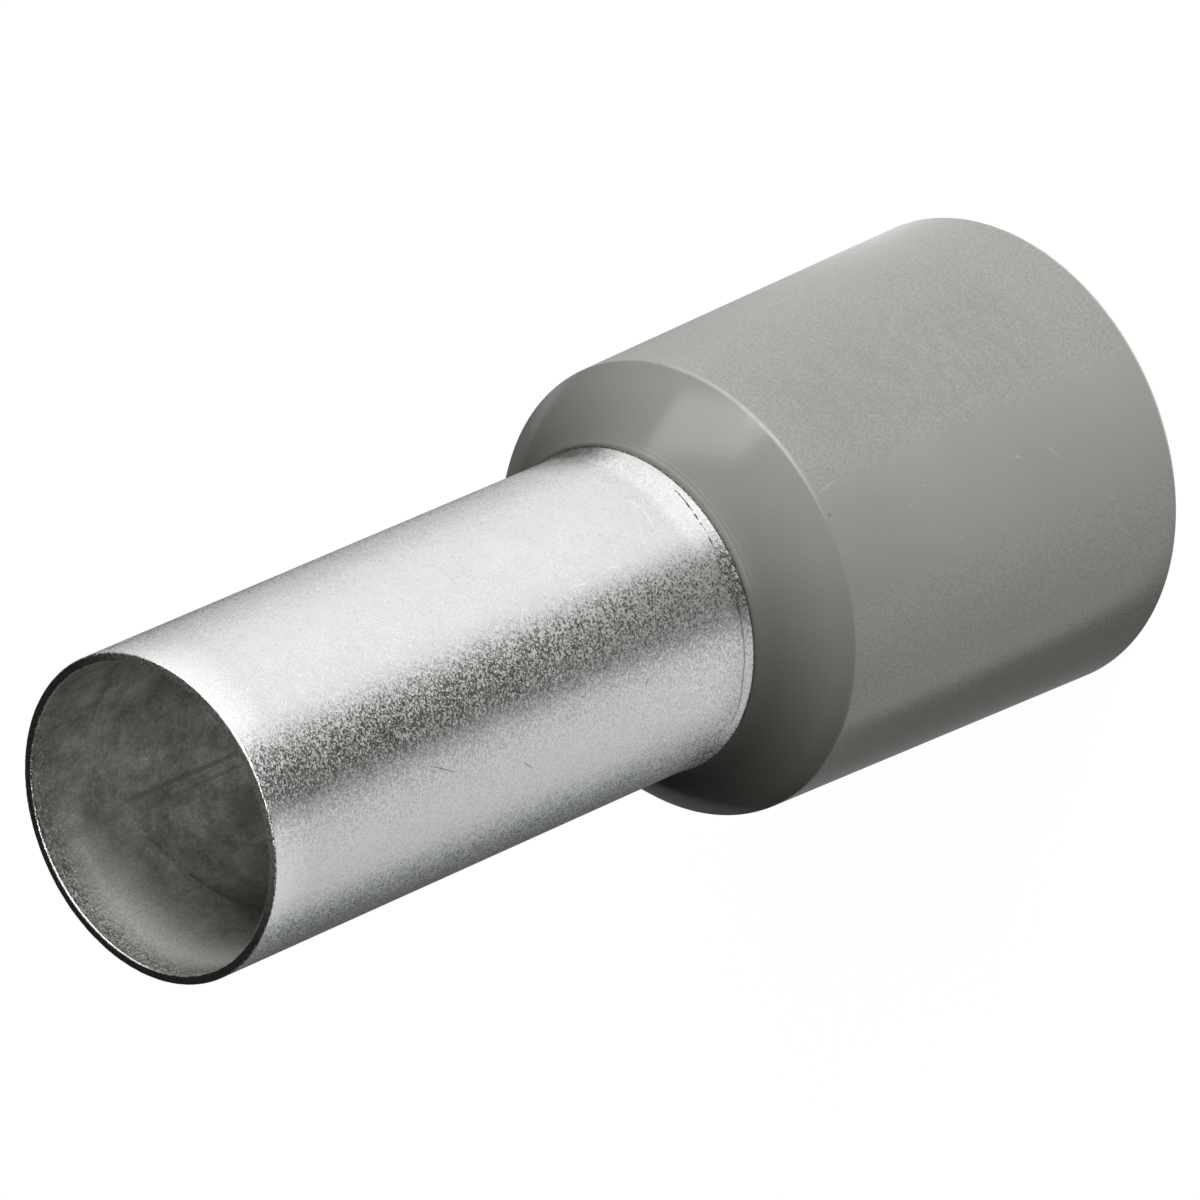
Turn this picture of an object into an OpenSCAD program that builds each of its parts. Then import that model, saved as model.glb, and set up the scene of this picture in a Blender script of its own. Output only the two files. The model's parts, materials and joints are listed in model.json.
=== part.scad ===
// An insulated wire ferrule: a thin tinned copper sleeve in a moulded collar.
// It stands on the collar's open end, with the sleeve's tip up, and Z is the axis of both.

/* [Sleeve] */
// Inside diameter of the sleeve, where the bare strands go
bore_d = 7.26; // [6.8:0.02:7.7]
// Thickness of the sleeve's drawn wall
sleeve_wall = 0.22; // [0.15:0.01:0.3]
// Length of sleeve that stands out of the collar
sleeve_out = 15.7; // [8:0.1:25]
// Radius that the cut leaves on the edges of the tip
rim_edge_r = 0.04; // [0.02:0.01:0.06]

/* [Bell] */
// Angle to which the sleeve's inner end is opened out
bell_angle = 45; // [35:1:55]
// Radius of the bend into the bell, on the sleeve's outer face
bell_bend_r = 0.5; // [0.3:0.05:0.7]
// Distance from the bell's edge to the wall of the insulation bore
bell_gap = 0.45; // [0.35:0.05:0.6]

/* [Collar] */
// Length of the collar along the axis
collar_len = 12.7; // [10:0.1:16]
// Length of the cone at the collar's front
cone_len = 1.7; // [1.2:0.1:2.5]
// Width of the flat front that the cone ends in, around the sleeve
land_w = 0.12; // [0.1:0.01:0.3]
// Length of the neck that grips the sleeve
neck_len = 1.2; // [0.8:0.1:2]
// Draft of the neck, which the sleeve is opened out to fill
neck_draft = 1; // [0.5:0.25:2]
// Inside diameter of the bore that takes the wire's insulation
insulation_d = 10; // [9.6:0.1:11]
// Wall of the collar at its shoulder
shoulder_wall = 0.45; // [0.35:0.05:0.6]
// Wall of the collar at its open mouth
mouth_wall = 0.4; // [0.3:0.05:0.5]
// Draft of the outside, from the shoulder to the mouth
draft_angle = 1.35; // [1:0.05:2]
// Length of the tapering lead-in behind the mouth
lead_in_len = 4; // [2:0.5:6]

/* [Edges] */
// Radius between the flat front and the cone
nose_edge_r = 0.1; // [0.05:0.01:0.2]
// Radius along the shoulder
shoulder_edge_r = 0.12; // [0.05:0.01:0.3]
// Radius on both edges of the mouth
mouth_edge_r = 0.07; // [0.03:0.01:0.1]

/* [Hidden] */
arc_steps = 6;
round_faces = 96;

bore_r = bore_d / 2;
sleeve_r = bore_r + sleeve_wall;
tip_z = collar_len + sleeve_out;

insulation_r = insulation_d / 2;
shoulder_r = insulation_r + shoulder_wall;
shoulder_z = collar_len - cone_len;
mouth_r = shoulder_r + shoulder_z * tan(draft_angle);
mouth_bore_r = mouth_r - mouth_wall;
nose_r = sleeve_r + land_w;

// The bell turns about one centre, which its two faces and the collar's funnel share
neck_end = [sleeve_r + neck_len * tan(neck_draft), collar_len - neck_len];
bell_centre = neck_end + bell_bend_r * [cos(neck_draft), sin(neck_draft)];
bell_heading = [sin(bell_angle), -cos(bell_angle)];
bend_end_r = bell_centre.x - bell_bend_r * cos(bell_angle);
bell_len = (insulation_r - bell_gap - bend_end_r) / sin(bell_angle);
funnel_len = (insulation_r - bend_end_r) / sin(bell_angle);

function unit(v) = v / norm(v);

// The arc that rounds corner p, between its neighbours a and b, to the radius r
function rounded_corner(a, p, b, r) =
    let (
        to_a = unit(a - p),
        to_b = unit(b - p),
        half_angle = acos(to_a * to_b) / 2,
        centre = p + unit(to_a + to_b) * r / sin(half_angle),
        from = p + to_a * r / tan(half_angle) - centre,
        start = atan2(from.y, from.x),
        turn = sign(to_b.x * to_a.y - to_b.y * to_a.x) * (180 - 2 * half_angle)
    )
    [for (i = [0:arc_steps]) let (t = start + turn * i / arc_steps) centre + r * [cos(t), sin(t)]];

// A face of the sleeve from the collar's front to its belled edge, that deep below its outer face
function bell_face(depth, length) =
    let (
        r = bell_bend_r + depth,
        step = (bell_angle - neck_draft) / arc_steps,
        turns = [for (i = [0:arc_steps]) 180 + neck_draft + i * step],
        bend = [for (t = turns) bell_centre + r * [cos(t), sin(t)]]
    )
    concat([[sleeve_r - depth, collar_len]], bend, [bend[arc_steps] + length * bell_heading]);

function reversed(points) = [for (i = [len(points) - 1:-1:0]) points[i]];

module revolved(outline) {
    rotate_extrude($fn = round_faces) polygon(outline);
}

// Tin-plated copper tube, cut square at the tip and belled open inside the collar
module sleeve() {
    outer_tip = [sleeve_r, tip_z];
    inner_tip = [bore_r, tip_z];
    color([0.79, 0.79, 0.78])
        revolved(concat(
            rounded_corner([bore_r, collar_len], inner_tip, outer_tip, rim_edge_r),
            rounded_corner(inner_tip, outer_tip, [sleeve_r, collar_len], rim_edge_r),
            bell_face(0, bell_len),
            reversed(bell_face(sleeve_wall, bell_len))
        ));
}

// One moulding: a coned nose that grips the sleeve, and a thin skirt for the insulation
module collar() {
    front_inner = [sleeve_r, collar_len];
    front_outer = [nose_r, collar_len];
    shoulder = [shoulder_r, shoulder_z];
    mouth_outer = [mouth_r, 0];
    mouth_inner = [mouth_bore_r, 0];
    lead_in = [insulation_r, lead_in_len];
    color([0.54, 0.54, 0.51])
        revolved(concat(
            rounded_corner(front_inner, front_outer, shoulder, nose_edge_r),
            rounded_corner(front_outer, shoulder, mouth_outer, shoulder_edge_r),
            rounded_corner(shoulder, mouth_outer, mouth_inner, mouth_edge_r),
            rounded_corner(mouth_outer, mouth_inner, lead_in, mouth_edge_r),
            [lead_in],
            reversed(bell_face(0, funnel_len))
        ));
}

sleeve();
collar();
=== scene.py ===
import json
import math

import bpy
from mathutils import Matrix, Vector


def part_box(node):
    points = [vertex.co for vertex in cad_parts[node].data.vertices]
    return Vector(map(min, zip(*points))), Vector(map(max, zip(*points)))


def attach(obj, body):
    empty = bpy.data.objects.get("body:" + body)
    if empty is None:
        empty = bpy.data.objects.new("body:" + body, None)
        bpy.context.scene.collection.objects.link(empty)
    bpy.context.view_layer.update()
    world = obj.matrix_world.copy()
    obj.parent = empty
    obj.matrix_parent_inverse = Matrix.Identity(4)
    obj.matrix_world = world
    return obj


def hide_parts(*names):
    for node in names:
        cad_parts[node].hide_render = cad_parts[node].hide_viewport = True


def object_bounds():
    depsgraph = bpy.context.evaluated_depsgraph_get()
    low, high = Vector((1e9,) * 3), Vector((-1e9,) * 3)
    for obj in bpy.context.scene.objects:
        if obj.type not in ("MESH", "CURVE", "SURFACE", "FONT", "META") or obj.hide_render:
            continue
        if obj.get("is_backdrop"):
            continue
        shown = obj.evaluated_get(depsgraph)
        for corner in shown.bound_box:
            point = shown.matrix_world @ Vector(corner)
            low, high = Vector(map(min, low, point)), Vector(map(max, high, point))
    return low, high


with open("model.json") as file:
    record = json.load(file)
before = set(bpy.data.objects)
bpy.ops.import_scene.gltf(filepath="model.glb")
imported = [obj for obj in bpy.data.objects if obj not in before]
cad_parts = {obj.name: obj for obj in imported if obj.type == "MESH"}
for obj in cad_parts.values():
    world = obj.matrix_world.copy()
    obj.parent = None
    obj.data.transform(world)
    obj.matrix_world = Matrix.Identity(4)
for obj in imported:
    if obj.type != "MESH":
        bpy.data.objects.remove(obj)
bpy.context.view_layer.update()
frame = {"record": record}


# SLEEVE
# A thin copper tube, drawn, plated with tin inside and out, and cut square at its tip.
# The cut is left raw, dark and a little ragged. The inner end is belled open inside the
# collar, which is moulded round the tube and holds it by its neck.
MM = 0.001
mounts = {mount["name"]: mount for mount in frame["record"]["mounts"]}
BORE_R = mounts["conductor_bore"]["dims"]["r_mm"]
SLEEVE_R = mounts["terminal_pin"]["dims"]["r_mm"]
FRONT_Z = mounts["conductor_bore"]["pos_m"][2] / MM
TIP_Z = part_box("sleeve")[1].z / MM
WALL = SLEEVE_R - BORE_R
NECK_LEN = 1.2
NECK_DRAFT = math.radians(1)
BELL_ANGLE = math.radians(45)
BELL_BEND_R = 0.5
BELL_EDGE_R = 4.55
FLARE_LEN = 0.55
FLARE_OUT = 0.06
FLARE_STEPS = 10
FLARE_POWER = 2.5
TIP_ROUND = 0.05
CUT_BELOW_ROUND = 0.02
BURR_LEN = 0.15
BURR_HEIGHT = 0.03
STEPS_AROUND = 384


def rounded_outline(corners, longest=0.4, steps=10, beside=0.02):
    """Closed outline in mm through (radius, height, rounding) corners, with long runs cut up.

    A short step beside each rounding keeps the shading of the straight run next to it even.
    """
    outline = []
    for before, corner, after in zip(corners[-1:] + corners, corners, corners[1:] + corners[:1]):
        here = Vector(corner[:2])
        to_before = (Vector(before[:2]) - here).normalized()
        to_after = (Vector(after[:2]) - here).normalized()
        rounding = corner[2]
        if rounding == 0:
            outline.append(here)
            continue
        half = to_before.angle(to_after) / 2
        reach = rounding / math.tan(half)
        centre = here + (to_before + to_after).normalized() * rounding / math.sin(half)
        start = here + to_before * reach - centre
        end = here + to_after * reach - centre
        points = [start + to_before * beside]
        points += [start.lerp(end, step / steps).normalized() * rounding for step in range(steps + 1)]
        points += [end + to_after * beside]
        outline += [centre + point for point in points]
    cut_up = []
    for here, there in zip(outline, outline[1:] + outline[:1]):
        parts = max(1, math.ceil((there - here).length / longest))
        cut_up += [here.lerp(there, part / parts) for part in range(parts)]
    return cut_up


def bell_corners(depth):
    """The bend from the neck into the bell and the bell's edge, that deep below the outer face."""
    top = Vector((SLEEVE_R - depth, FRONT_Z))
    neck_way = Vector((math.sin(NECK_DRAFT), -math.cos(NECK_DRAFT)))
    bell_way = Vector((math.sin(BELL_ANGLE), -math.cos(BELL_ANGLE)))
    bend_r = BELL_BEND_R + depth
    tangent = bend_r * math.tan((BELL_ANGLE - NECK_DRAFT) / 2)
    bend = top + neck_way * (NECK_LEN + tangent)
    outer_bend = Vector((SLEEVE_R, FRONT_Z)) + neck_way * (
        NECK_LEN + BELL_BEND_R * math.tan((BELL_ANGLE - NECK_DRAFT) / 2)
    )
    outer_edge = outer_bend + bell_way * (BELL_EDGE_R - outer_bend.x) / math.sin(BELL_ANGLE)
    across = Vector((-math.cos(BELL_ANGLE), -math.sin(BELL_ANGLE)))
    edge = outer_edge + across * depth
    return top, bend, bend_r, edge


def add_node(tree, kind, inputs=None, **settings):
    """Adds one node with its settings; an input given a socket is linked, any other is set."""
    made = tree.nodes.new(kind)
    for name, value in settings.items():
        setattr(made, name, value)
    for key, value in (inputs or {}).items():
        if isinstance(value, bpy.types.NodeSocket):
            tree.links.new(value, made.inputs[key])
        else:
            made.inputs[key].default_value = value
    return made


def lathe_tree():
    """Geometry Nodes that turn an outline in the XZ plane about Z.

    What lies above one height is made ragged, as a burr. What faces up above another is given the
    material of the cut, what faces the axis that of the inside, and the rest that of the outside.
    """
    nearly_up = 0.9
    tree = bpy.data.node_groups.new("turned_section", "GeometryNodeTree")
    for name, kind in (
        ("Section", "Geometry"),
        ("Path radius", "Float"),
        ("Steps around", "Int"),
        ("Burr above", "Float"),
        ("Burr height", "Float"),
        ("Burr length", "Float"),
        ("Cut above", "Float"),
        ("Seed", "Float"),
        ("Outside", "Material"),
        ("Inside", "Material"),
        ("Cut", "Material"),
    ):
        tree.interface.new_socket(name, in_out="INPUT", socket_type="NodeSocket" + kind)
    tree.interface.new_socket("Turned part", in_out="OUTPUT", socket_type="NodeSocketGeometry")
    given = tree.nodes.new("NodeGroupInput").outputs

    shift = add_node(tree, "ShaderNodeMath", {0: given["Path radius"], 1: -1.0}, operation="MULTIPLY")
    shift = add_node(tree, "ShaderNodeCombineXYZ", {"X": shift.outputs[0]})
    laid = add_node(
        tree,
        "GeometryNodeTransform",
        {
            "Geometry": given["Section"],
            "Translation": shift.outputs[0],
            "Rotation": (math.radians(90), 0, 0),
        },
    )
    section = add_node(tree, "GeometryNodeMeshToCurve", {"Mesh": laid.outputs[0]})
    circle = add_node(
        tree,
        "GeometryNodeCurvePrimitiveCircle",
        {"Resolution": given["Steps around"], "Radius": given["Path radius"]},
    )
    circle = add_node(tree, "GeometryNodeSetCurveNormal", {"Curve": circle.outputs[0]}, mode="Z_UP")
    turned = add_node(
        tree,
        "GeometryNodeCurveToMesh",
        {"Curve": circle.outputs[0], "Profile Curve": section.outputs[0]},
    )

    place = add_node(tree, "GeometryNodeInputPosition").outputs[0]
    height = add_node(tree, "ShaderNodeSeparateXYZ", {0: place}).outputs["Z"]
    reach = add_node(
        tree,
        "ShaderNodeMath",
        {0: height, 1: given["Burr above"]},
        operation="GREATER_THAN",
    )
    around = add_node(tree, "ShaderNodeVectorMath", {0: place, 1: (1, 1, 0)}, operation="MULTIPLY")
    scale = add_node(tree, "ShaderNodeMath", {0: 1.0, 1: given["Burr length"]}, operation="DIVIDE")
    ragged = add_node(
        tree,
        "ShaderNodeTexNoise",
        {"Vector": around.outputs[0], "W": given["Seed"], "Scale": scale.outputs[0], "Detail": 3.0},
        noise_dimensions="4D",
    )
    ragged = add_node(tree, "ShaderNodeMath", {0: ragged.outputs[0], 1: 0.5}, operation="SUBTRACT")
    ragged = add_node(
        tree,
        "ShaderNodeMath",
        {0: ragged.outputs[0], 1: given["Burr height"]},
        operation="MULTIPLY",
    )
    ragged = add_node(tree, "ShaderNodeCombineXYZ", {"Z": ragged.outputs[0]})
    rough = add_node(
        tree,
        "GeometryNodeSetPosition",
        {"Geometry": turned.outputs[0], "Selection": reach.outputs[0], "Offset": ragged.outputs[0]},
    )
    smooth = add_node(tree, "GeometryNodeSetShadeSmooth", {"Geometry": rough.outputs[0]})
    made = add_node(tree, "GeometryNodeRealizeInstances", {"Geometry": smooth.outputs[0]})
    facing = add_node(tree, "GeometryNodeInputNormal").outputs["Normal"]
    outwards = add_node(
        tree,
        "ShaderNodeVectorMath",
        {0: around.outputs[0], 1: facing},
        operation="DOT_PRODUCT",
    )
    inwards = add_node(
        tree,
        "ShaderNodeMath",
        {0: outwards.outputs["Value"], 1: 0.0},
        operation="LESS_THAN",
    )
    at_tip = add_node(
        tree,
        "ShaderNodeMath",
        {0: height, 1: given["Cut above"]},
        operation="GREATER_THAN",
    )
    upwards = add_node(tree, "ShaderNodeSeparateXYZ", {0: facing}).outputs["Z"]
    flat = add_node(tree, "ShaderNodeMath", {0: upwards, 1: nearly_up}, operation="GREATER_THAN")
    cut = add_node(
        tree,
        "ShaderNodeMath",
        {0: at_tip.outputs[0], 1: flat.outputs[0]},
        operation="MULTIPLY",
    )
    made = add_node(
        tree,
        "GeometryNodeSetMaterial",
        {"Geometry": made.outputs[0], "Material": given["Outside"]},
    )
    below = add_node(tree, "ShaderNodeMath", {0: 1.0, 1: at_tip.outputs[0]}, operation="SUBTRACT")
    inner = add_node(
        tree,
        "ShaderNodeMath",
        {0: inwards.outputs[0], 1: below.outputs[0]},
        operation="MULTIPLY",
    )
    for name, chosen in (("Inside", inner), ("Cut", cut)):
        made = add_node(
            tree,
            "GeometryNodeSetMaterial",
            {"Geometry": made.outputs[0], "Selection": chosen.outputs[0], "Material": given[name]},
        )
    add_node(tree, "NodeGroupOutput", {"Turned part": made.outputs[0]})
    return tree


def turned_piece(name, outline, **inputs):
    """A plain mesh object: the outline turned by the lathe tree, with its inputs by their names."""
    section = bpy.data.meshes.new(name + "_section")
    count = len(outline)
    section.from_pydata(
        [(point.x * MM, 0, point.y * MM) for point in outline],
        [(index, (index + 1) % count) for index in range(count)],
        [],
    )
    drawn = bpy.data.objects.new(name + "_drawn", section)
    bpy.context.scene.collection.objects.link(drawn)
    turning = drawn.modifiers.new("turned", "NODES")
    turning.node_group = lathe
    sockets = {item.name: item.identifier for item in lathe.interface.items_tree}
    for key, value in inputs.items():
        turning[sockets[key.replace("_", " ")]] = value
    ready = drawn.evaluated_get(bpy.context.evaluated_depsgraph_get())
    mesh = bpy.data.meshes.new_from_object(ready)
    mesh.name = name
    bpy.data.objects.remove(drawn)
    piece = bpy.data.objects.new(name, mesh)
    bpy.context.scene.collection.objects.link(piece)
    return piece


def linear(colour):
    """A colour written as sRGB hex, as linear RGBA."""
    levels = [int(colour[at : at + 2], 16) / 255 for at in (1, 3, 5)]
    return [v / 12.92 if v <= 0.04045 else ((v + 0.055) / 1.055) ** 2.4 for v in levels] + [1]


def per_metre(size_mm):
    """The scale at which a pattern on Object coordinates repeats at that size."""
    return 1 / (size_mm * MM)


def new_material(name):
    """A material with its node tree, its shader and its Object coordinates."""
    material = bpy.data.materials.new(name)
    material.use_nodes = True
    tree = material.node_tree
    shader = tree.nodes["Principled BSDF"]
    place = tree.nodes.new("ShaderNodeTexCoord").outputs["Object"]
    return material, tree, shader, place


def azimuth_and_height(tree, place, start=-180):
    """Azimuth in degrees, counted up from its start, and height in mm."""
    turned = add_node(
        tree,
        "ShaderNodeMapping",
        {"Vector": place, "Rotation": (0, 0, -math.radians(start + 180))},
    )
    turn = add_node(
        tree,
        "ShaderNodeTexGradient",
        {"Vector": turned.outputs[0]},
        gradient_type="RADIAL",
    )
    azimuth = add_node(
        tree,
        "ShaderNodeMath",
        {0: turn.outputs["Fac"], 1: 360.0, 2: start},
        operation="MULTIPLY_ADD",
    )
    up = add_node(tree, "ShaderNodeSeparateXYZ", {0: place}).outputs["Z"]
    height = add_node(tree, "ShaderNodeMath", {0: up, 1: 1 / MM}, operation="MULTIPLY")
    return azimuth.outputs[0], height.outputs[0]


def near(tree, value, at, full, fade):
    """1 where the value lies that near a level, falling to 0 over the fade."""
    off = add_node(tree, "ShaderNodeMath", {0: value, 1: at}, operation="SUBTRACT")
    off = add_node(tree, "ShaderNodeMath", {0: off.outputs[0]}, operation="ABSOLUTE")
    fall = add_node(
        tree,
        "ShaderNodeMapRange",
        {
            "Value": off.outputs[0],
            "From Min": full,
            "From Max": full + fade,
            "To Min": 1.0,
            "To Max": 0.0,
        },
        interpolation_type="SMOOTHSTEP",
    )
    return fall.outputs[0]


def marked(tree, tone, colour, *masks):
    """The tone with a mark of that sRGB colour on it, where all the masks are set."""
    mask = masks[0]
    for other in masks[1:]:
        mask = add_node(tree, "ShaderNodeMath", {0: mask, 1: other}, operation="MULTIPLY").outputs[0]
    laid = add_node(
        tree,
        "ShaderNodeMix",
        {"Factor": mask, "A": tone, "B": linear(colour)},
        data_type="RGBA",
    )
    return laid.outputs["Result"]


def shaded(tree, tone, pattern, low, high, least, most):
    """The tone times a factor that goes from least to most as the pattern goes from low to high."""
    factor = add_node(
        tree,
        "ShaderNodeMapRange",
        {"Value": pattern, "From Min": low, "From Max": high, "To Min": least, "To Max": most},
    )
    toned = add_node(
        tree,
        "ShaderNodeMix",
        {"Factor": 1.0, "A": tone, "B": factor.outputs[0]},
        data_type="RGBA",
        blend_type="MULTIPLY",
    )
    return toned.outputs["Result"]


def streak(tree, azimuth, height, start, end, wide):
    """Two masks that meet in a thin line between two (azimuth, height) places, that wide in mm."""
    slope = (end[1] - start[1]) / (end[0] - start[0])
    sheared = add_node(
        tree,
        "ShaderNodeMath",
        {0: azimuth, 1: -slope, 2: height},
        operation="MULTIPLY_ADD",
    )
    level = start[1] - slope * start[0]
    across = wide / 2 * math.hypot(1, slope / math.radians(1) / SLEEVE_R)
    middle = (start[0] + end[0]) / 2
    half = abs(end[0] - start[0]) / 2
    beside = near(tree, sheared.outputs[0], level, 0.4 * across, across)
    along = near(tree, azimuth, middle, 0.6 * half, 0.4 * half)
    return beside, along


# Tin plate on drawn copper: bright and slightly cloudy. Some of its crystals are matte and some
# lie a few degrees off the surface, so that a dark reflection breaks up into fine grains. The
# real crystals are finer than these, which are as coarse as they need to be to show.
GRAIN_MM = 0.038
GRAIN_TILT = 0.17
PIT_MM = 1.6 * GRAIN_MM
CLOUD_MM = 0.9
SCRATCH_MM = 0.03
tin_plate, tree, shader, place = new_material("drawn_tin_plate")
shader.inputs["Metallic"].default_value = 1.0
azimuth, height = azimuth_and_height(tree, place)
crystals = add_node(tree, "ShaderNodeTexVoronoi", {"Vector": place, "Scale": per_metre(GRAIN_MM)})
chance = add_node(tree, "ShaderNodeSeparateColor", {0: crystals.outputs["Color"]}).outputs
cloud = add_node(
    tree,
    "ShaderNodeTexNoise",
    {"Vector": place, "Scale": per_metre(CLOUD_MM), "Detail": 8.0, "Roughness": 0.75},
).outputs["Fac"]
tone = marked(tree, linear("#DCDCDB"), "#F3F2F0", cloud)
tone = shaded(tree, tone, chance[0], 0, 1, 0.96, 1.0)

# A few crystals came off and left pits
pits = add_node(tree, "ShaderNodeTexVoronoi", {"Vector": place, "Scale": per_metre(PIT_MM)})
pits = add_node(tree, "ShaderNodeSeparateColor", {0: pits.outputs["Color"]})
pitted = add_node(
    tree,
    "ShaderNodeMapRange",
    {"Value": pits.outputs[0], "From Min": 0.975, "From Max": 0.985, "To Max": 0.12},
)
tone = marked(tree, tone, "#3A3934", pitted.outputs[0])

# Burnished round the tip and beside the collar on the bright side, the brightening there partly a
# painted highlight
at_tip = add_node(
    tree,
    "ShaderNodeMapRange",
    {"Value": height, "From Min": TIP_Z - 1.3, "From Max": TIP_Z - 0.2},
)
at_neck = add_node(
    tree,
    "ShaderNodeMath",
    {0: near(tree, height, FRONT_Z + FLARE_LEN, 0.1, 0.5), 1: near(tree, azimuth, 35, 20, 16)},
    operation="MULTIPLY",
)
burnished_and_highlight = add_node(
    tree,
    "ShaderNodeMath",
    {0: at_tip.outputs[0], 1: at_neck.outputs[0]},
    operation="MAXIMUM",
)
tone = marked(tree, tone, "#FFFFFF", burnished_and_highlight.outputs[0], 0.75)

# Two cloudy marks, partly stains and partly painted shade, start some way up the tube and darken
# towards the collar
cloudy = add_node(
    tree,
    "ShaderNodeMapRange",
    {"Value": cloud, "From Min": 0.36, "From Max": 0.6, "To Min": 0.5},
)
for stain_and_shade_az, full, fade, starts_at, darkest_at, strength, colour in (
    (86, 10, 22, 2.0, 0.9, 0.9, "#484842"),
    (-6, 8, 14, 5.8, 1.8, 0.36, "#55554F"),
):
    down = add_node(
        tree,
        "ShaderNodeMapRange",
        {"Value": height, "From Min": FRONT_Z + starts_at, "From Max": FRONT_Z + darkest_at},
    )
    beside = near(tree, azimuth, stain_and_shade_az, full, fade)
    tone = marked(tree, tone, colour, beside, down.outputs[0], cloudy.outputs[0], strength)

# A dashed score beside the collar on the bright side, and a wavering line further round
dashes = add_node(tree, "ShaderNodeTexNoise", {"Vector": place, "Scale": per_metre(0.3)})
broken = add_node(
    tree,
    "ShaderNodeMapRange",
    {"Value": dashes.outputs["Fac"], "From Min": 0.48, "From Max": 0.56},
)
score = streak(tree, azimuth, height, (5, 13.03), (37, 12.87), 0.05)
tone = marked(tree, tone, "#3A3934", *score, broken.outputs[0])
wobble = add_node(
    tree,
    "ShaderNodeMath",
    {0: cloud, 1: 0.16, 2: height},
    operation="MULTIPLY_ADD",
)
line = near(tree, wobble.outputs[0], FRONT_Z + 0.37, 0.01, 0.03)
tone = marked(tree, tone, "#6E6A60", line, near(tree, azimuth, -35, 20, 6), 0.6)

# Scratches, painted as glints on the bright side and as dark lines on the other, as they catch or miss
# the light
for start, end, strength, colour in (
    ((-21, 23.4), (-28, 22.5), 0.6, "#55544F"),
    ((-34, 20.4), (-38, 20.1), 0.6, "#55544F"),
    ((-24, 16.2), (-27, 16.3), 0.6, "#55544F"),
    ((30, 14.1), (23, 14.2), 0.8, "#FFFFFF"),
    ((37, 14.2), (31, 14.1), 0.8, "#FFFFFF"),
    ((14.8, 17.4), (13.6, 16.9), 0.8, "#FFFFFF"),
    ((16, 16.2), (14.5, 15.8), 0.8, "#FFFFFF"),
):
    scratch = streak(tree, azimuth, height, start, end, SCRATCH_MM)
    tone = marked(tree, tone, colour, *scratch, strength)
tree.links.new(tone, shader.inputs["Base Color"])

matte = add_node(
    tree,
    "ShaderNodeMapRange",
    {"Value": chance[1], "From Min": 0.3, "To Max": 0.34},
)
satin = add_node(
    tree,
    "ShaderNodeMapRange",
    {"Value": cloud, "From Min": 0.3, "From Max": 0.7, "To Min": 0.2, "To Max": 0.28},
)
rough = add_node(
    tree,
    "ShaderNodeMath",
    {0: satin.outputs[0], 1: matte.outputs[0]},
    operation="ADD",
)
tree.links.new(rough.outputs[0], shader.inputs["Roughness"])
tilt = add_node(
    tree,
    "ShaderNodeVectorMath",
    {0: crystals.outputs["Color"], 1: (0.5, 0.5, 0.5)},
    operation="SUBTRACT",
)
tilt = add_node(
    tree,
    "ShaderNodeVectorMath",
    {0: tilt.outputs[0], "Scale": GRAIN_TILT},
    operation="SCALE",
)
facing = add_node(tree, "ShaderNodeNewGeometry").outputs["Normal"]
tilted = add_node(tree, "ShaderNodeVectorMath", {0: facing, 1: tilt.outputs[0]}, operation="ADD")
tilted = add_node(tree, "ShaderNodeVectorMath", {0: tilted.outputs[0]}, operation="NORMALIZE")
tree.links.new(tilted.outputs[0], shader.inputs["Normal"])

# The plating in the bore is dull and olive grey. The drawing soap dried on it in blotches, and the
# draw ring left dark lines along it. Beside the rim its grain carries a painted dark reflection with
# bright glints. It is barely metallic here, because the soap hides the tin.
bore_plate, tree, shader, place = new_material("dull_tin_plate_in_the_bore")
shader.inputs["Metallic"].default_value = 0.1
shader.inputs["Roughness"].default_value = 0.42
azimuth, height = azimuth_and_height(tree, place, start=0)
mottle = add_node(
    tree,
    "ShaderNodeTexNoise",
    {"Vector": place, "Scale": per_metre(0.9), "Detail": 9.0, "Roughness": 0.82},
).outputs["Fac"]
blotches = add_node(
    tree,
    "ShaderNodeMapRange",
    {"Value": mottle, "From Min": 0.34, "From Max": 0.66},
)
tone = marked(tree, linear("#82817A"), "#F2F1E8", blotches.outputs[0])
along = add_node(tree, "ShaderNodeMapping", {"Vector": place, "Scale": (1, 1, 0.05)})
drawn = add_node(
    tree,
    "ShaderNodeTexNoise",
    {"Vector": along.outputs[0], "Scale": per_metre(0.12), "Detail": 2.0},
).outputs["Fac"]
tone = shaded(tree, tone, drawn, 0.3, 0.7, 0.93, 1.05)

# Painted light: a bright band just inside the rim on one side. Painted shade: darker deep in on both
# flanks
round_rim = add_node(tree, "ShaderNodeMapRange", {"Value": azimuth, "From Min": 168, "From Max": 205})
painted_light_band = near(tree, height, TIP_Z - 1.1, 0.4, 1.3)
tone = marked(tree, tone, "#FFFFFA", painted_light_band, round_rim.outputs[0], 0.95)
flanks = add_node(
    tree,
    "ShaderNodeMapRange",
    {"Value": near(tree, azimuth, 178, 18, 30), "From Min": 1.0, "From Max": 0.0},
)
deep = add_node(
    tree,
    "ShaderNodeMapRange",
    {"Value": height, "From Min": TIP_Z - 2.0, "From Max": TIP_Z - 4.5},
)
tone = marked(tree, tone, "#62615A", flanks.outputs[0], deep.outputs[0], 0.45)

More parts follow.
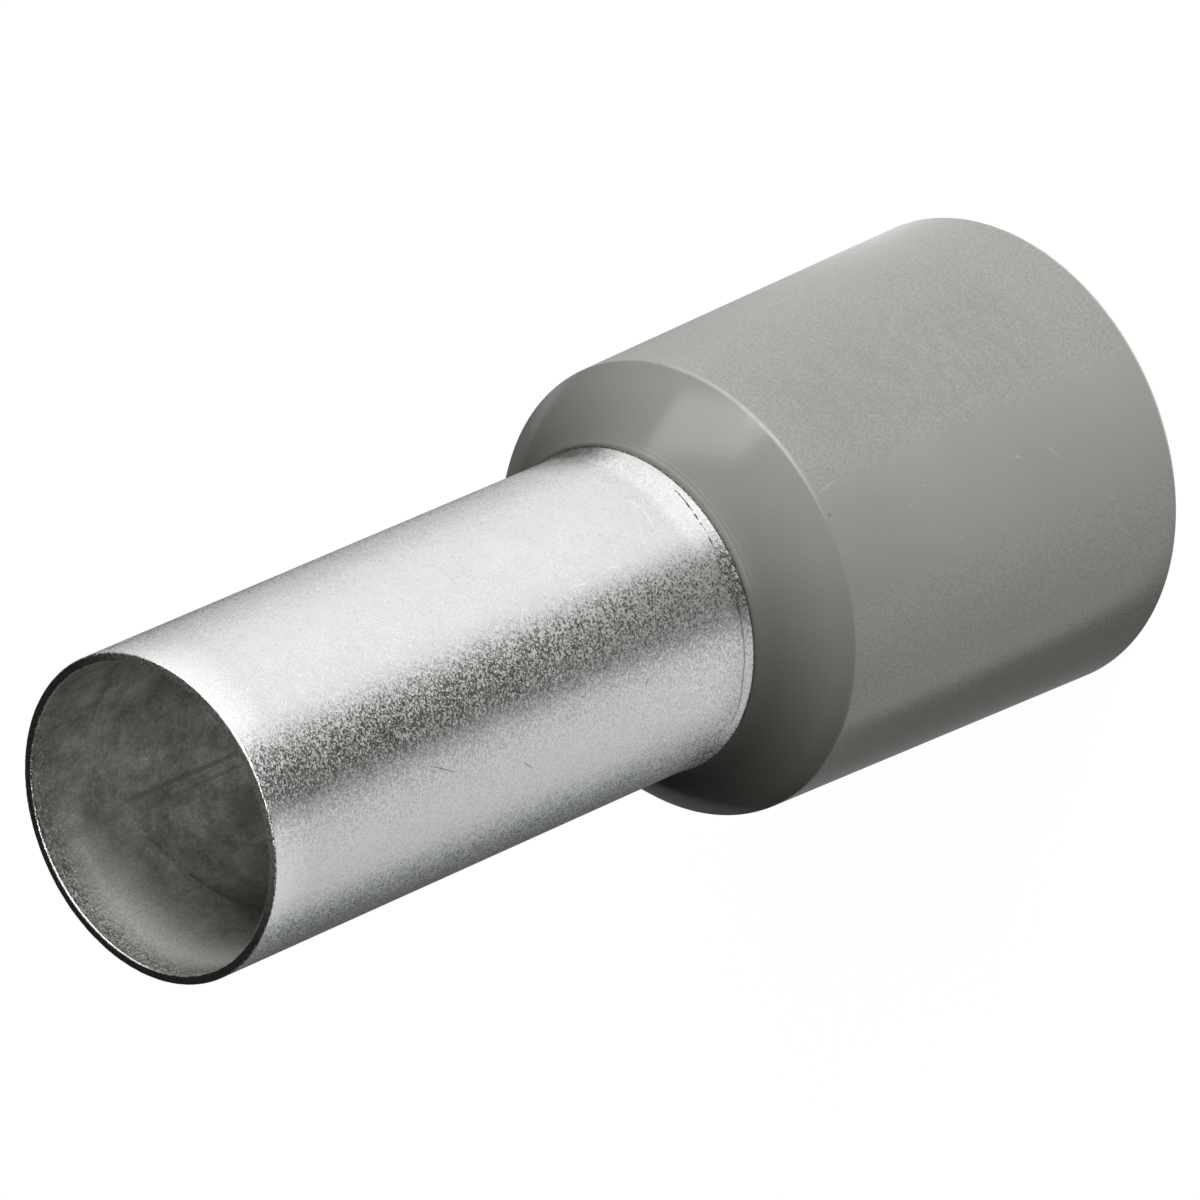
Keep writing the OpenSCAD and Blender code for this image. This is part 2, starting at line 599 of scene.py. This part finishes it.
# The draw lines, each at an azimuth, so many degrees wide and with its middle that deep
worn_away = add_node(
    tree,
    "ShaderNodeMapRange",
    {"Value": mottle, "From Min": 0.35, "From Max": 0.6, "To Min": 0.3},
)
for line_az, wide, depth, half, strength in (
    (171, 1.1, 4.6, 1.4, 0.5),
    (175.5, 0.8, 5.2, 0.8, 0.35),
    (174, 2.6, 1.2, 1.0, 0.25),
    (163, 1.2, 4.0, 3.0, 0.12),
    (210, 0.8, 3.0, 2.0, 0.12),
):
    line = near(tree, azimuth, line_az, 0.3 * wide, wide)
    reach = near(tree, height, TIP_Z - depth, half, 1.4)
    tone = marked(tree, tone, "#45443E", line, reach, worn_away.outputs[0], strength)

# A smear that crosses them, broken by the blotches and by the drawing
smeared = add_node(
    tree,
    "ShaderNodeMapRange",
    {"Value": mottle, "From Min": 0.4, "From Max": 0.6, "To Min": 0.2, "To Max": 0.9},
)
lined = add_node(
    tree,
    "ShaderNodeMapRange",
    {"Value": drawn, "From Min": 0.4, "From Max": 0.6, "To Min": 0.1},
)
smear = streak(tree, azimuth, height, (174, TIP_Z - 2.7), (236, TIP_Z - 4.0), 0.14)
tone = marked(tree, tone, "#5D5C54", *smear, smeared.outputs[0], lined.outputs[0])

# Four larger spots of soap
spotty = add_node(
    tree,
    "ShaderNodeMapRange",
    {"Value": mottle, "From Min": 0.35, "From Max": 0.6, "To Min": 0.1, "To Max": 0.6},
)
for spot_az, depth, half_az, half in (
    (192, 5.9, 9, 0.6),
    (230, 3.8, 9, 0.5),
    (133, 2.5, 3, 0.25),
    (158, 4.75, 2.5, 0.15),
):
    spot = near(tree, azimuth, spot_az, 0.2 * half_az, half_az)
    reach = near(tree, height, TIP_Z - depth, 0.2 * half, half)
    tone = marked(tree, tone, "#6A695F", spot, reach, spotty.outputs[0])

# Painted reflection beside the rim: dark crystals for the dark it mirrors, bright ones as glints; and
# a little unevenness of all crystals
crystals = add_node(tree, "ShaderNodeTexVoronoi", {"Vector": place, "Scale": per_metre(GRAIN_MM)})
chance = add_node(tree, "ShaderNodeSeparateColor", {0: crystals.outputs["Color"]}).outputs
at_rim = add_node(
    tree,
    "ShaderNodeMapRange",
    {"Value": height, "From Min": TIP_Z - 1.0, "From Max": TIP_Z - 0.35},
)
by_side = add_node(
    tree,
    "ShaderNodeMapRange",
    {"Value": azimuth, "From Min": 120, "From Max": 185, "To Min": 0.45},
)
for channel, low, high, least, most, colour in (
    (0, 0.1, 0.8, 0.2, 0.9, "#4A4942"),
    (1, 0.88, 0.98, 0.0, 0.7, "#FFFFFA"),
):
    chosen = add_node(
        tree,
        "ShaderNodeMapRange",
        {"Value": chance[channel], "From Min": low, "From Max": high, "To Min": least, "To Max": most},
    )
    tone = marked(tree, tone, colour, at_rim.outputs[0], by_side.outputs[0], chosen.outputs[0])
tone = shaded(tree, tone, chance[2], 0, 1, 0.8, 1.12)
tree.links.new(tone, shader.inputs["Base Color"])

# The sheared edge: bare copper gone dark, torn rather than cut, so that it hardly shines; its dark
# tone is partly painted, for the dark it mirrors. On the bright side it is painted lighter, as painted
# light.
cut_edge, tree, shader, place = new_material("sheared_copper_edge")
shader.inputs["Roughness"].default_value = 0.6
azimuth = azimuth_and_height(tree, place)[0]
torn = add_node(
    tree,
    "ShaderNodeTexNoise",
    {"Vector": place, "Scale": per_metre(0.08), "Detail": 3.0},
).outputs["Fac"]
streaky = add_node(tree, "ShaderNodeMapRange", {"Value": torn, "From Min": 0.3, "From Max": 0.7})
bare_and_reflected_dark = marked(tree, linear("#1E1C19"), "#45423C", streaky.outputs[0])
painted_lit_tone = marked(tree, linear("#5C5C56"), "#A0A09A", streaky.outputs[0])
tone = add_node(
    tree,
    "ShaderNodeMix",
    {"Factor": near(tree, azimuth, 14, 34, 48), "A": bare_and_reflected_dark, "B": painted_lit_tone},
    data_type="RGBA",
)
tree.links.new(tone.outputs["Result"], shader.inputs["Base Color"])
bump = add_node(tree, "ShaderNodeBump", {"Height": torn, "Strength": 1.0, "Distance": 0.01 * MM})
tree.links.new(bump.outputs[0], shader.inputs["Normal"])

top, bend, bend_r, edge = bell_corners(0)
inner_top, inner_bend, inner_bend_r, inner_edge = bell_corners(WALL)
flare = [
    (SLEEVE_R + FLARE_OUT * part**FLARE_POWER, FRONT_Z + FLARE_LEN * (1 - part), 0)
    for part in (step / FLARE_STEPS for step in range(FLARE_STEPS + 1))
]
sleeve_outline = rounded_outline(
    [
        (SLEEVE_R, TIP_Z, TIP_ROUND),
        *flare,
        (*top, 0),
        (*bend, bend_r),
        (*edge, 0),
        (*inner_edge, 0),
        (*inner_bend, inner_bend_r),
        (*inner_top, 0),
        (BORE_R, TIP_Z, TIP_ROUND),
    ]
)
lathe = lathe_tree()
sleeve = turned_piece(
    "tinned_sleeve",
    sleeve_outline,
    Path_radius=BORE_R * MM,
    Steps_around=STEPS_AROUND,
    Burr_above=(TIP_Z - BURR_LEN) * MM,
    Burr_height=BURR_HEIGHT * MM,
    Burr_length=BURR_LEN * MM,
    Cut_above=(TIP_Z - TIP_ROUND - CUT_BELOW_ROUND) * MM,
    Seed=3.0,
    Outside=tin_plate,
    Inside=bore_plate,
    Cut=cut_edge,
)
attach(sleeve, "root")
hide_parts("sleeve")


# COLLAR
# Grey polypropylene, moulded round the sleeve in one shot: a coned nose that grips the tube
# and a thin skirt that takes the wire's insulation, drafted inside and out towards its mouth.
INSULATION_R = mounts["insulation_bore"]["dims"]["r_mm"]
LEAD_IN_LEN = mounts["insulation_bore"]["pos_m"][2] / MM
MOUTH_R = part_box("collar")[1].x / MM
CONE_LEN = 1.7
CONE_STEPS = 12
SHOULDER_Z = FRONT_Z - CONE_LEN
LAND_W = 0.12
SHOULDER_WALL = 0.45
NOSE_R = SLEEVE_R + LAND_W
SHOULDER_R = INSULATION_R + SHOULDER_WALL
MOUTH_WALL = 0.4
NOSE_ROUND = 0.1
CONE_BULGE = 0.06
SHOULDER_ROUND = 0.12
MOUTH_ROUND = 0.07
ABOVE_ALL = 1000

# Moulded polypropylene: satin, from a spark-eroded tool that gave it a fine even grain, drawn
# coarser here than it is so that it shows. Handling has hazed its upper side and polished a strip
# beside that. Painted highlights lie along the edges of its shoulder and its mouth.
WEAR_AND_HIGHLIGHT_WHITE = "#F0F0EC"
polypropylene, tree, shader, place = new_material("moulded_grey_polypropylene")
shader.inputs["IOR"].default_value = 1.49
shader.inputs["Roughness"].default_value = 0.13
azimuth, height = azimuth_and_height(tree, place)
grain = add_node(
    tree,
    "ShaderNodeTexNoise",
    {"Vector": place, "Scale": per_metre(0.06), "Detail": 2.0},
).outputs["Fac"]
cloud = add_node(
    tree,
    "ShaderNodeTexNoise",
    {"Vector": place, "Scale": per_metre(3.0), "Detail": 3.0},
).outputs["Fac"]
tone = marked(tree, linear("#A4A29B"), "#AEACA5", cloud)

# The grain's speckle is painted stronger on the dark side, as the light shows it there, and worn off
# in the strip and on the cone
on_cone = add_node(
    tree,
    "ShaderNodeMapRange",
    {"Value": height, "From Min": SHOULDER_Z - 0.1, "From Max": SHOULDER_Z},
)
worn = add_node(
    tree,
    "ShaderNodeMath",
    {0: near(tree, azimuth, -6, 10, 8), 1: on_cone.outputs[0]},
    operation="MAXIMUM",
)
least, most = (
    add_node(
        tree,
        "ShaderNodeMapRange",
        {"Value": azimuth, "From Min": -25, "From Max": -55, "To Min": bright, "To Max": dark},
    ).outputs[0]
    for bright, dark in ((0.84, 0.72), (1.16, 1.28))
)
speckle = add_node(
    tree,
    "ShaderNodeMapRange",
    {"Value": grain, "From Min": 0.25, "From Max": 0.75, "To Min": least, "To Max": most},
)
grainy = marked(tree, speckle.outputs[0], "#FFFFFF", worn.outputs[0])
tone = add_node(
    tree,
    "ShaderNodeMix",
    {"Factor": 1.0, "A": tone, "B": grainy},
    data_type="RGBA",
    blend_type="MULTIPLY",
).outputs["Result"]

# Scuffs run round it, so what they mark comes out in short strokes
scuffs = add_node(
    tree,
    "ShaderNodeMapping",
    {"Vector": place, "Rotation": (0.5, 0, 0), "Scale": (1, 0.12, 1)},
)
scuffs = add_node(
    tree,
    "ShaderNodeTexNoise",
    {"Vector": scuffs.outputs[0], "Scale": per_metre(0.35), "Detail": 6.0, "Roughness": 0.75},
).outputs["Fac"]
scuffed = add_node(
    tree,
    "ShaderNodeMapRange",
    {"Value": scuffs, "From Min": 0.36, "From Max": 0.64},
).outputs[0]
haze = near(tree, azimuth, 28, 7, 12), near(tree, height, 6.2, 3.2, 1.4)
tone = marked(tree, tone, "#8A8983", *haze, scuffed, 0.3)
# Painted highlights, broken up by the scuffs, along the shoulder's edge and the mouth's edge on the
# bright side
highlight_breakup = add_node(
    tree,
    "ShaderNodeMapRange",
    {"Value": scuffs, "From Min": 0.3, "From Max": 0.6, "To Min": 0.4},
).outputs[0]
shoulder_highlight = near(tree, height, SHOULDER_Z, 0.02, 0.05), near(tree, azimuth, 36, 10, 26)
tone = marked(tree, tone, WEAR_AND_HIGHLIGHT_WHITE, *shoulder_highlight, highlight_breakup, 0.5)
# Painted highlight along the mouth's edge on the bright side
at_mouth = add_node(
    tree,
    "ShaderNodeMapRange",
    {"Value": height, "From Min": 0.1, "From Max": MOUTH_ROUND},
).outputs[0]
tone = marked(tree, tone, WEAR_AND_HIGHLIGHT_WHITE, at_mouth, near(tree, azimuth, 30, 40, 25), highlight_breakup, 0.7)

# Fine scratches, and one dark dot
faint = add_node(
    tree,
    "ShaderNodeMapRange",
    {"Value": scuffs, "From Min": 0.35, "From Max": 0.6, "To Max": 0.25},
)
for start, end, wide in (
    ((7.2, 10.8), (8.8, 10.2), 0.04),
    ((-3.2, 3.85), (-8.4, 3.5), 0.05),
    ((-2.8, 4.9), (-4.2, 4.7), 0.06),
    ((-4, 8.45), (-4.6, 8.4), 0.06),
    ((-15.7, 7.2), (-16.4, 7.15), 0.07),
    ((-0.8, 7.86), (-1.4, 7.8), 0.05),
    ((28.5, 4.62), (20.5, 4.7), 0.05),
    ((67.5, 6.9), (65.5, 6.2), 0.06),
):
    scratch = streak(tree, azimuth, height, start, end, wide)
    tone = marked(tree, tone, WEAR_AND_HIGHLIGHT_WHITE, *scratch, faint.outputs[0])
dot = near(tree, azimuth, 1.5, 0.2, 0.4), near(tree, height, 10.85, 0.02, 0.04)
tone = marked(tree, tone, "#4A4944", *dot, 0.4)

# Painted shade: the cone gets darker towards the tube, least of all on its bright side
shade_by_tube = add_node(
    tree,
    "ShaderNodeMapRange",
    {"Value": height, "From Min": FRONT_Z - 1.3, "From Max": FRONT_Z - 0.3},
)
by_side = add_node(
    tree,
    "ShaderNodeMapRange",
    {"Value": near(tree, azimuth, 35, 0, 95), "To Min": 0.45, "To Max": 0.08},
)
tone = marked(tree, tone, "#2A2A27", shade_by_tube.outputs[0], by_side.outputs[0])

# The tool was turned, and its finest rings show on the cone close to the tube
from_axis = add_node(tree, "ShaderNodeVectorMath", {0: place, 1: (1, 1, 0)}, operation="MULTIPLY")
from_axis = add_node(
    tree,
    "ShaderNodeVectorMath",
    {0: from_axis.outputs[0]},
    operation="LENGTH",
).outputs["Value"]
rings = add_node(
    tree,
    "ShaderNodeTexNoise",
    {"W": from_axis, "Scale": per_metre(0.045), "Detail": 1.0},
    noise_dimensions="1D",
)
rings = add_node(
    tree,
    "ShaderNodeMapRange",
    {"Value": rings.outputs["Fac"], "From Min": 0.5, "From Max": 0.75},
)
close_in = add_node(
    tree,
    "ShaderNodeMapRange",
    {"Value": from_axis, "From Min": 4.4 * MM, "From Max": 4.0 * MM},
)
side = near(tree, azimuth, 25, 25, 20)
tone = marked(tree, tone, WEAR_AND_HIGHLIGHT_WHITE, close_in.outputs[0], side, rings.outputs[0], 0.2)
tree.links.new(tone, shader.inputs["Base Color"])
depth = add_node(
    tree,
    "ShaderNodeMapRange",
    {
        "Value": height,
        "From Min": SHOULDER_Z - 0.1,
        "From Max": SHOULDER_Z,
        "To Min": 1.0,
        "To Max": 0.4,
    },
)
bump = add_node(
    tree,
    "ShaderNodeBump",
    {"Height": grain, "Strength": depth.outputs[0], "Distance": 0.006 * MM},
)
tree.links.new(bump.outputs[0], shader.inputs["Normal"])

funnel = bend + (edge - bend).normalized() * (INSULATION_R - bend.x) / math.sin(BELL_ANGLE)
nose = Vector((NOSE_R, FRONT_Z))
shoulder = Vector((SHOULDER_R, SHOULDER_Z))
outwards = Vector((CONE_LEN, SHOULDER_R - NOSE_R)).normalized()
cone = [
    nose.lerp(shoulder, part) + outwards * 4 * CONE_BULGE * part * (1 - part)
    for part in (step / CONE_STEPS for step in range(1, CONE_STEPS))
]
collar_outline = rounded_outline(
    [
        (*nose, NOSE_ROUND),
        *((*point, 0) for point in cone),
        (*shoulder, SHOULDER_ROUND),
        (MOUTH_R, 0, MOUTH_ROUND),
        (MOUTH_R - MOUTH_WALL, 0, MOUTH_ROUND),
        (INSULATION_R, LEAD_IN_LEN, 0),
        (*funnel, 0),
        (*bend, bend_r),
        (*top, 0),
    ]
)
# It has no burr and no cut edge, so both start above all of it
collar = turned_piece(
    "moulded_collar",
    collar_outline,
    Path_radius=SLEEVE_R * MM,
    Steps_around=STEPS_AROUND,
    Burr_above=ABOVE_ALL * MM,
    Burr_height=0.0,
    Burr_length=MM,
    Cut_above=ABOVE_ALL * MM,
    Seed=0.0,
    Outside=polypropylene,
    Inside=polypropylene,
    Cut=polypropylene,
)
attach(collar, "root")
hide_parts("collar")


# TABLE
# A plain pale table of white laminate. The camera sees it as white, with the part's faint shadow.
# In reflections it has the tones of a studio table, which is dark on the sides that no lamp
# reaches, and it throws its light on the part's dull surfaces from the bright side.
TABLE_HALF = 2.0
CLOSE_BY = (15.5 * MM, 17.0 * MM)
FAR_OFF = (37 * MM, 44 * MM)
SHADOW_TONE = "#8C8D8A"
SHADOW_FOOT = (3.6, -5.2)
SHADOW_ACROSS = (-0.916, 0.401)
SHADOW_BLUR = 0.4
table_mesh = bpy.data.meshes.new("table")
table_mesh.from_pydata(
    [(x * TABLE_HALF, y * TABLE_HALF, 0) for x, y in ((-1, -1), (1, -1), (1, 1), (-1, 1))],
    [],
    [(0, 1, 2, 3)],
)
table = bpy.data.objects.new("table", table_mesh)
bpy.context.scene.collection.objects.link(table)
white_table = bpy.data.materials.new("white_laminate_table")
white_table.use_nodes = True
tree = white_table.node_tree
tree.nodes.clear()
place = tree.nodes.new("ShaderNodeTexCoord").outputs["Object"]
rays = tree.nodes.new("ShaderNodeLightPath").outputs
azimuth = azimuth_and_height(tree, place)[0]
reach = add_node(tree, "ShaderNodeVectorMath", {0: place}, operation="LENGTH").outputs["Value"]


def around_ramp(tree, place, stops):
    """A colour for each direction on the table, from stops of azimuth in degrees and sRGB hex."""
    turn = add_node(tree, "ShaderNodeTexGradient", {"Vector": place}, gradient_type="RADIAL")
    ramp = add_node(tree, "ShaderNodeValToRGB", {"Fac": turn.outputs["Fac"]})
    made = ramp.color_ramp.elements
    while len(made) < len(stops):
        made.new(0.5)
    for stop, (towards, colour) in zip(made, stops):
        stop.position = (towards + 180) / 360
        stop.color = linear(colour)
    return ramp.outputs[0]


# How the table looks in a reflection, by the azimuth at which it lies
shown = around_ramp(
    tree,
    place,
    (
        (-180, "#5A5A5A"),
        (-122, "#606464"),
        (-106, "#B0B6B6"),
        (-95, "#D4D4D8"),
        (-45, "#DADADE"),
        (0, "#E8E8E8"),
        (30, "#FFFFFF"),
        (95, "#FFFFFF"),
        (122, "#D0D0D0"),
        (140, "#C0C0C0"),
        (152, "#5A5A5A"),
        (180, "#5A5A5A"),
    ),
)
# The dark of the room behind the camera lies on it as a strip
strip = around_ramp(
    tree,
    place,
    (
        (-180, "#FFFFFF"),
        (-41, "#FFFFFF"),
        (-31, "#50524A"),
        (4, "#464840"),
        (18, "#FFFFFF"),
        (180, "#FFFFFF"),
    ),
)
# Farther off, it is dark behind the part
behind = around_ramp(
    tree,
    place,
    (
        (-180, "#3B3B3B"),
        (-118, "#3B3B3B"),
        (-100, "#FFFFFF"),
        (105, "#FFFFFF"),
        (125, "#3B3B3B"),
        (180, "#3B3B3B"),
    ),
)
far_off = add_node(
    tree,
    "ShaderNodeMapRange",
    {"Value": reach, "From Min": FAR_OFF[0], "From Max": FAR_OFF[1]},
)
for mask, darker in ((1.0, strip), (far_off.outputs[0], behind)):
    shown = add_node(
        tree,
        "ShaderNodeMix",
        {"Factor": mask, "A": shown, "B": darker},
        data_type="RGBA",
        blend_type="MULTIPLY",
    ).outputs["Result"]

# Close by, where the collar mirrors it: white, with the part's own shadow from its foot outwards
close = around_ramp(
    tree,
    place,
    (
        (-180, SHADOW_TONE),
        (-150, "#C0C0C0"),
        (-120, "#FFFFFF"),
        (-40, "#FFFFFF"),
        (0, "#EFEFEF"),
        (30, "#FFFFFF"),
        (95, "#FFFFFF"),
        (122, "#D2D2D2"),
        (150, "#A6A6A6"),
        (180, SHADOW_TONE),
    ),
)
across = add_node(
    tree,
    "ShaderNodeVectorMath",
    {0: place, 1: (*SHADOW_ACROSS, 0)},
    operation="DOT_PRODUCT",
)
shadow_edge = SHADOW_FOOT[0] * SHADOW_ACROSS[0] + SHADOW_FOOT[1] * SHADOW_ACROSS[1]
in_shadow = add_node(
    tree,
    "ShaderNodeMapRange",
    {
        "Value": across.outputs["Value"],
        "From Min": (shadow_edge - SHADOW_BLUR) * MM,
        "From Max": (shadow_edge + SHADOW_BLUR) * MM,
    },
)
on_dark_side = add_node(
    tree,
    "ShaderNodeMapRange",
    {"Value": azimuth, "From Min": 0, "From Max": -20},
)
close = marked(tree, close, SHADOW_TONE, in_shadow.outputs[0], on_dark_side.outputs[0])
not_close = add_node(
    tree,
    "ShaderNodeMapRange",
    {"Value": reach, "From Min": CLOSE_BY[0], "From Max": CLOSE_BY[1]},
)
shown = add_node(
    tree,
    "ShaderNodeMix",
    {"Factor": not_close.outputs[0], "A": close, "B": shown},
    data_type="RGBA",
).outputs["Result"]

# How much of the table's light reaches the part's dull surfaces from each side
lit = around_ramp(
    tree,
    place,
    (
        (-180, "#707070"),
        (-150, "#707070"),
        (-110, "#202020"),
        (-70, "#5C5C5C"),
        (-45, "#949494"),
        (-15, "#BCBCBC"),
        (15, "#D4D4D4"),
        (45, "#DEDEDE"),
        (90, "#CCCCCC"),
        (115, "#969696"),
        (140, "#606060"),
        (180, "#707070"),
    ),
)

# Under the part it gives no light, so that the bore is dark at its rear
uncovered = add_node(
    tree,
    "ShaderNodeMath",
    {0: reach, 1: MOUTH_R * MM},
    operation="GREATER_THAN",
).outputs[0]
mirrored = add_node(tree, "ShaderNodeEmission", {"Color": shown, "Strength": uncovered})
plain = add_node(tree, "ShaderNodeEmission", {"Color": lit, "Strength": uncovered})
faint = add_node(tree, "ShaderNodeBsdfDiffuse", {"Color": linear("#6C6C6C")})
glow = add_node(tree, "ShaderNodeEmission", {"Color": linear("#FFFFFF"), "Strength": 0.98})
seen = add_node(tree, "ShaderNodeAddShader", {0: glow.outputs[0], 1: faint.outputs[0]})
look = add_node(
    tree,
    "ShaderNodeMixShader",
    {0: rays["Is Glossy Ray"], 1: plain.outputs[0], 2: mirrored.outputs[0]},
)
look = add_node(
    tree,
    "ShaderNodeMixShader",
    {0: rays["Is Camera Ray"], 1: look.outputs[0], 2: seen.outputs[0]},
)
add_node(tree, "ShaderNodeOutputMaterial", {"Surface": look.outputs[0]})
table_mesh.materials.append(white_table)
table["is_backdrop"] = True


# LIGHT
# A low soft box on the part's bright side, a narrower one beside it, a small one overhead, and a
# snooted lamp that lights the bore through the tip. The room is dim, and brighter at the front,
# most of all in reflections. The camera sees it as white.
LAMP_AWAY = 0.15
room = bpy.data.worlds.new("room")
bpy.context.scene.world = room
room.use_nodes = True
tree = room.node_tree
tree.nodes.clear()
rays = tree.nodes.new("ShaderNodeLightPath").outputs
way = tree.nodes.new("ShaderNodeTexCoord").outputs["Generated"]


def brighter_towards(tree, way, side, start, end, dim, bright):
    """A background that gets brighter the more nearly a direction points to that azimuth."""
    around = math.radians(side)
    share = add_node(
        tree,
        "ShaderNodeVectorMath",
        {0: way, 1: (math.cos(around), math.sin(around), 0)},
        operation="DOT_PRODUCT",
    )
    level = add_node(
        tree,
        "ShaderNodeMapRange",
        {
            "Value": share.outputs["Value"],
            "From Min": start,
            "From Max": end,
            "To Min": dim,
            "To Max": bright,
        },
    )
    return add_node(tree, "ShaderNodeBackground", {"Color": level.outputs[0]}).outputs[0]


dim = brighter_towards(tree, way, 10, 0.5, 0.95, 0.01, 0.02)
sheen = brighter_towards(tree, way, 45, 0.2, 0.9, 0.012, 0.5)
dim = add_node(tree, "ShaderNodeMixShader", {0: rays["Is Glossy Ray"], 1: dim, 2: sheen})
white = add_node(tree, "ShaderNodeBackground", {"Color": linear("#FFFFFF")})
sky = add_node(
    tree,
    "ShaderNodeMixShader",
    {0: rays["Is Camera Ray"], 1: dim.outputs[0], 2: white.outputs[0]},
)
add_node(tree, "ShaderNodeOutputWorld", {"Surface": sky.outputs[0]})


def hung(name, lamp, azimuth, elevation, aim):
    """Hangs the lamp in that direction, in degrees, from the place at which it aims."""
    around = math.radians(azimuth)
    up = math.radians(elevation)
    way = Vector((math.cos(around) * math.cos(up), math.sin(around) * math.cos(up), math.sin(up)))
    stand = bpy.data.objects.new(name, lamp)
    bpy.context.scene.collection.objects.link(stand)
    stand.location = aim + way * LAMP_AWAY
    stand.rotation_euler = way.to_track_quat("Z", "Y").to_euler()


# The boxes: azimuth and elevation in degrees, width and height in metres, and radiance
middle = Vector((0, 0, TIP_Z / 2 * MM))
for name, azimuth, elevation, wide, high, radiance in (
    ("soft_box", 30, 9.5, 0.16, 0.055, 4.4),
    ("side_box", 68, 23, 0.105, 0.046, 2.45),
    ("top_box", 10, 65, 0.08, 0.08, 1.05),
):
    box = bpy.data.lights.new(name, "AREA")
    box.shape = "RECTANGLE"
    box.size = wide
    box.size_y = high
    box.energy = radiance * math.pi * wide * high
    hung(name, box, azimuth, elevation, middle)

snoot = bpy.data.lights.new("snooted_lamp", "SPOT")
snoot.spot_size = math.radians(3.2)
snoot.spot_blend = 0.3
snoot.shadow_soft_size = 0.002
snoot.energy = 0.222
hung("snooted_lamp", snoot, -25, 58, Vector((0, 0, TIP_Z * MM)))


# CAMERA
# A long lens, looking down at the tip from 43 degrees above the table and rolled so that the
# part lies across the frame with its tip to the lower left. Angles are in radians, AWAY in mm.
FROM_AXIS = 0.82493
AWAY = 317.264
ROLL = 1.98300
ASIDE = 0.00125
DOWN = -0.00213
FOCAL_PIXELS = 13957.89
FRAME_PIXELS = 1200
SENSOR_MM = 36
back = Vector((math.sin(FROM_AXIS), 0, math.cos(FROM_AXIS)))
upright = Vector((0, 0, 1))
upright = (upright - back * back.z).normalized()
right = (-back).cross(upright)
axes = Matrix((right, upright, back))
axes = Matrix.Rotation(ROLL, 3, "Z") @ axes
axes = Matrix.Rotation(DOWN, 3, "X") @ Matrix.Rotation(ASIDE, 3, "Y") @ axes
lens = bpy.data.cameras.new("camera")
lens.sensor_width = SENSOR_MM
lens.lens = FOCAL_PIXELS * SENSOR_MM / FRAME_PIXELS
lens.clip_start = 0.01
lens.clip_end = 10
camera = bpy.data.objects.new("camera", lens)
bpy.context.scene.collection.objects.link(camera)
camera.matrix_world = Matrix.Translation(middle + back * AWAY * MM) @ axes.transposed().to_4x4()
bpy.context.scene.camera = camera
bpy.context.scene.view_settings.view_transform = "Standard"

low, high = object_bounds()
